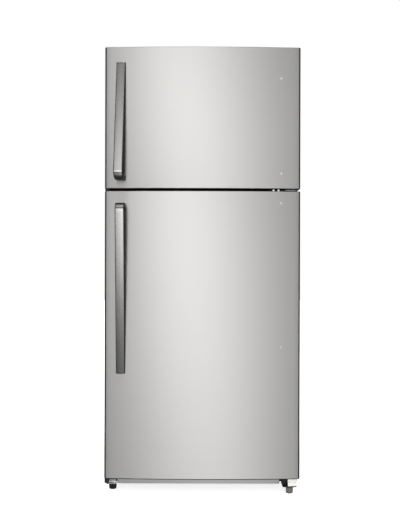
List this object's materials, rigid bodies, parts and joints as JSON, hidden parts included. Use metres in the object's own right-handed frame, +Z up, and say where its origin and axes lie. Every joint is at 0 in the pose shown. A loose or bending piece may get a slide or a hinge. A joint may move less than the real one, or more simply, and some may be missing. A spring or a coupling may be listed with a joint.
{
  "type": "top freezer refrigerator",
  "caption": "Upright top freezer refrigerator with bowed stainless doors, wedge handles, right hand hinges, inner shelves, drawers and a rear compressor bay.",
  "frame": {"origin": "centre of the bounding box in X and Y, on the floor under the feet", "axes": "+Z up, doors face -Y, hinges on the +X side"},
  "size_m": [0.75, 0.7819, 1.7273],
  "materials": {
    "stainless": "satin",
    "black_paint": "satin",
    "zinc_steel": "satin",
    "grey_plastic": "satin",
    "black_plastic": "matte",
    "white_liner": "satin",
    "foam": "matte",
    "rubber": "matte",
    "glass": "gloss",
    "clear_plastic": "gloss",
    "white_plastic": "satin",
    "aluminium": "satin"
  },
  "bodies": {
    "cabinet": {"cabinet_shell": "black_paint", "centre_rail": "black_paint", "compressor": "black_paint", "condenser_coil": "black_paint", "bottom_hinge_bracket": "black_paint", "back_panel": "zinc_steel", "bottom_pan": "zinc_steel", "left_foot_bracket": "zinc_steel", "compressor_rail": "zinc_steel", "rear_cover": "zinc_steel", "fan_motor": "zinc_steel", "top_hinge_plate": "zinc_steel", "top_hinge_pin": "zinc_steel", "middle_hinge_bracket": "zinc_steel", "middle_hinge_pin": "zinc_steel", "bottom_hinge_pin": "zinc_steel", "base_strip": "grey_plastic", "drain_pan": "black_plastic", "top_hinge_cover": "black_plastic", "freezer_liner": "white_liner", "fridge_liner": "white_liner", "evaporator_cover": "white_liner", "insulation_foam": "foam", "shelf_upper": "glass", "shelf_middle": "glass", "crisper_cover": "glass", "lamp_cover": "clear_plastic", "freezer_shelf": "white_plastic", "control_housing": "white_plastic", "hinge_cam_lower": "white_plastic", "evaporator": "aluminium"},
    "freezer_door": {"freezer_door_skin": "stainless", "freezer_door_foam": "foam", "freezer_door_liner": "white_liner", "freezer_door_top_cap": "black_plastic", "freezer_door_bottom_cap": "black_plastic", "freezer_door_gasket": "rubber", "freezer_handle": "stainless", "freezer_door_bin": "clear_plastic"},
    "fridge_door": {"fridge_door_skin": "stainless", "fridge_door_foam": "foam", "fridge_door_liner": "white_liner", "fridge_door_top_cap": "black_plastic", "fridge_door_bottom_cap": "black_plastic", "fridge_door_gasket": "rubber", "fridge_handle": "stainless", "fridge_door_bin_upper": "clear_plastic", "fridge_door_bin_middle": "clear_plastic", "fridge_door_bin_lower": "clear_plastic", "hinge_cam_upper": "white_plastic"},
    "left_foot": {"left_foot": "black_plastic"},
    "right_foot": {"right_foot": "grey_plastic"},
    "rear_roller_left": {"rear_roller_left": "black_plastic"},
    "rear_roller_right": {"rear_roller_right": "black_plastic"},
    "evaporator_fan": {"evaporator_fan": "white_plastic"},
    "temperature_knob": {"temperature_knob": "grey_plastic"},
    "deli_drawer": {"deli_drawer": "clear_plastic"},
    "crisper_left": {"crisper_left": "clear_plastic"},
    "crisper_right": {"crisper_right": "clear_plastic"},
    "light_switch": {"light_switch": "white_plastic"}
  },
  "joints": [
    {"name": "freezer_door_hinge", "type": "hinge", "parent": "cabinet", "child": "freezer_door", "pos_m": [0.355, -0.313, 1.442], "axis": [0, 0, 1], "range_deg": [0, 135]},
    {"name": "fridge_door_hinge", "type": "hinge", "parent": "cabinet", "child": "fridge_door", "pos_m": [0.355, -0.313, 0.611], "axis": [0, 0, 1], "range_deg": [0, 135]},
    {"name": "deli_drawer_slide", "type": "slide", "parent": "cabinet", "child": "deli_drawer", "axis": [0, -1, 0], "range_m": [0, 0.2]},
    {"name": "crisper_left_slide", "type": "slide", "parent": "cabinet", "child": "crisper_left", "axis": [0, -1, 0], "range_m": [0, 0.2]},
    {"name": "crisper_right_slide", "type": "slide", "parent": "cabinet", "child": "crisper_right", "axis": [0, -1, 0], "range_m": [0, 0.2]},
    {"name": "light_switch_travel", "type": "slide", "parent": "cabinet", "child": "light_switch", "axis": [0, -1, 0], "range_m": [0, 0.007]},
    {"name": "temperature_knob_turn", "type": "hinge", "parent": "cabinet", "child": "temperature_knob", "pos_m": [0.11, -0.09, 1.096], "axis": [0, -1, 0], "range_deg": [0, 270]},
    {"name": "evaporator_fan_spin", "type": "hinge", "parent": "cabinet", "child": "evaporator_fan", "pos_m": [0, 0.266, 1.56], "axis": [0, -1, 0], "continuous": true},
    {"name": "rear_roller_left_spin", "type": "hinge", "parent": "cabinet", "child": "rear_roller_left", "pos_m": [-0.344, 0.34, 0.02], "axis": [1, 0, 0], "continuous": true},
    {"name": "rear_roller_right_spin", "type": "hinge", "parent": "cabinet", "child": "rear_roller_right", "pos_m": [0.344, 0.34, 0.02], "axis": [1, 0, 0], "continuous": true},
    {"name": "left_foot_screw", "type": "hinge", "parent": "cabinet", "child": "left_foot", "pos_m": [-0.3504, -0.259, 0.01], "axis": [0, 0, 1], "continuous": true},
    {"name": "right_foot_screw", "type": "hinge", "parent": "cabinet", "child": "right_foot", "pos_m": [0.3387, -0.306, 0.01], "axis": [0, 0, 1], "continuous": true}
  ],
  "couplings": [
    {"joint": "deli_drawer_slide", "follows": "fridge_door_hinge", "m_per_rad": 0.0845},
    {"joint": "crisper_left_slide", "follows": "fridge_door_hinge", "m_per_rad": 0.0845},
    {"joint": "crisper_right_slide", "follows": "fridge_door_hinge", "m_per_rad": 0.0845},
    {"joint": "light_switch_travel", "follows": "fridge_door_hinge", "m_per_rad": 0.0029}
  ]
}
